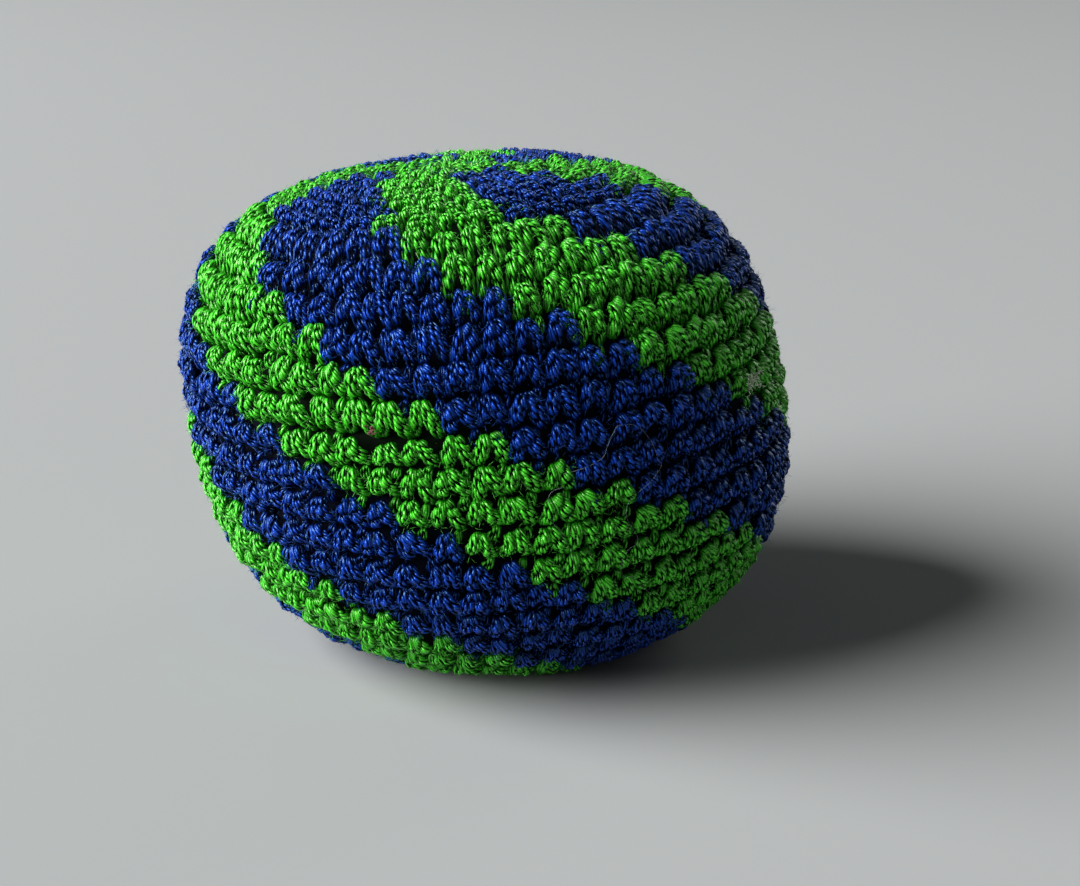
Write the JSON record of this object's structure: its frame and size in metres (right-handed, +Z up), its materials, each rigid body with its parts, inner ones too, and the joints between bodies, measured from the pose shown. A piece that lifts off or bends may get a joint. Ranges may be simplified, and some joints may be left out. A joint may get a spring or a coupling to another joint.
{
  "type": "footbag",
  "caption": "Small round crocheted footbag with spiral colour bands, slumped on its base and filled with loose pellets.",
  "frame": {"origin": "on the floor under the bag, at the middle of its outline from above", "axes": "+Z up out of the base it rests on; the picture's camera looks along +Y, with +X to its right; the crown tips towards -X"},
  "size_m": [0.0571, 0.056, 0.0449],
  "materials": {
    "green_yarn": "shiny plied yarn, single crochet",
    "blue_yarn": "shiny plied yarn, single crochet",
    "pellet_plastic": "smooth moulded pellets"
  },
  "bodies": {
    "root": {"blue_band_1": "blue_yarn", "blue_band_2": "blue_yarn", "blue_band_3": "blue_yarn", "blue_band_4": "blue_yarn", "closing_ring": "blue_yarn", "green_band_1": "green_yarn", "green_band_2": "green_yarn", "green_band_3": "green_yarn", "green_band_4": "green_yarn", "pellet_01": "pellet_plastic", "pellet_02": "pellet_plastic", "pellet_03": "pellet_plastic", "pellet_04": "pellet_plastic", "pellet_05": "pellet_plastic", "pellet_06": "pellet_plastic", "pellet_07": "pellet_plastic", "pellet_08": "pellet_plastic", "pellet_09": "pellet_plastic", "pellet_10": "pellet_plastic", "pellet_11": "pellet_plastic", "pellet_12": "pellet_plastic", "pellet_13": "pellet_plastic", "pellet_14": "pellet_plastic", "pellet_15": "pellet_plastic", "pellet_16": "pellet_plastic", "pellet_17": "pellet_plastic", "pellet_18": "pellet_plastic", "pellet_19": "pellet_plastic", "pellet_20": "pellet_plastic", "pellet_21": "pellet_plastic", "pellet_22": "pellet_plastic", "pellet_23": "pellet_plastic", "pellet_24": "pellet_plastic", "pellet_25": "pellet_plastic", "pellet_26": "pellet_plastic", "pellet_27": "pellet_plastic", "pellet_28": "pellet_plastic", "pellet_29": "pellet_plastic", "pellet_30": "pellet_plastic", "pellet_31": "pellet_plastic", "pellet_32": "pellet_plastic", "pellet_33": "pellet_plastic", "pellet_34": "pellet_plastic", "pellet_35": "pellet_plastic", "pellet_36": "pellet_plastic", "pellet_37": "pellet_plastic", "pellet_bed": "pellet_plastic", "start_ring": "green_yarn"}
  },
  "joints": []
}
